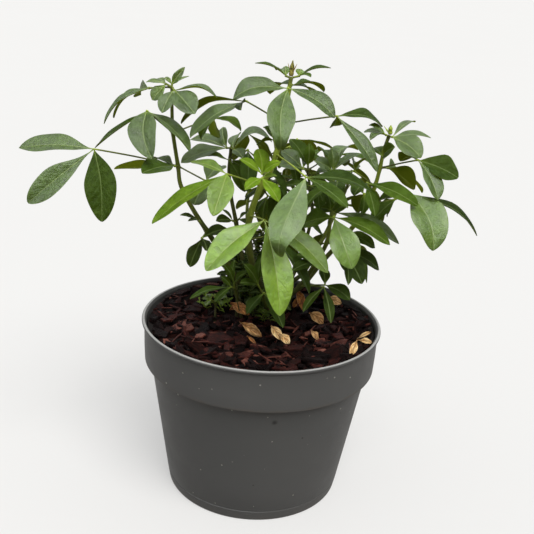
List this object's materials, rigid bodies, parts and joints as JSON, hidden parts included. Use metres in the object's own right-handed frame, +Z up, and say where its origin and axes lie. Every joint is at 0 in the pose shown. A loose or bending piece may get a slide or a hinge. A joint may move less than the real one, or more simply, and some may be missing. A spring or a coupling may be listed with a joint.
{
  "type": "potted mexican orange plant",
  "caption": "Young mexican orange shrub with glossy three-part leaves, rooted in bark-topped compost in a round grey plastic nursery pot with a deep rim band.",
  "frame": {"origin": "centre of the pot's flat foot, on the surface it stands on", "axes": "+Z up the pot's axis, +X to the right of the picture, -Y towards its viewer"},
  "size_m": [0.3433, 0.2463, 0.3437],
  "materials": {
    "grey_plastic": "smooth moulded grey polypropylene, slightly dusty",
    "compost": "dark peaty potting compost",
    "bark": "rough red-brown bark chips",
    "leaf_green": "smooth leathery evergreen leaves on olive stems",
    "dry_leaf": "dry papery tan leaves and petals"
  },
  "bodies": {
    "root": {"pot": "grey_plastic", "compost": "compost", "bark_mulch": "bark", "left_stem": "leaf_green", "inner_left_stem": "leaf_green", "centre_stem": "leaf_green", "inner_right_stem": "leaf_green", "front_right_stem": "leaf_green", "right_stem": "leaf_green", "back_left_stem": "leaf_green", "back_stem": "leaf_green", "back_right_stem": "leaf_green", "low_front_sprig": "leaf_green", "low_left_sprig": "leaf_green", "ground_sprig": "leaf_green", "dry_leaf_orange": "dry_leaf", "dry_leaf_torn": "dry_leaf", "dry_leaf_brown": "dry_leaf", "dry_leaf_back": "dry_leaf", "dry_petal_middle": "dry_leaf", "dry_petal_front": "dry_leaf", "dry_petal_upper": "dry_leaf", "dry_petal_lower": "dry_leaf", "dry_petal_left": "dry_leaf"}
  },
  "joints": []
}
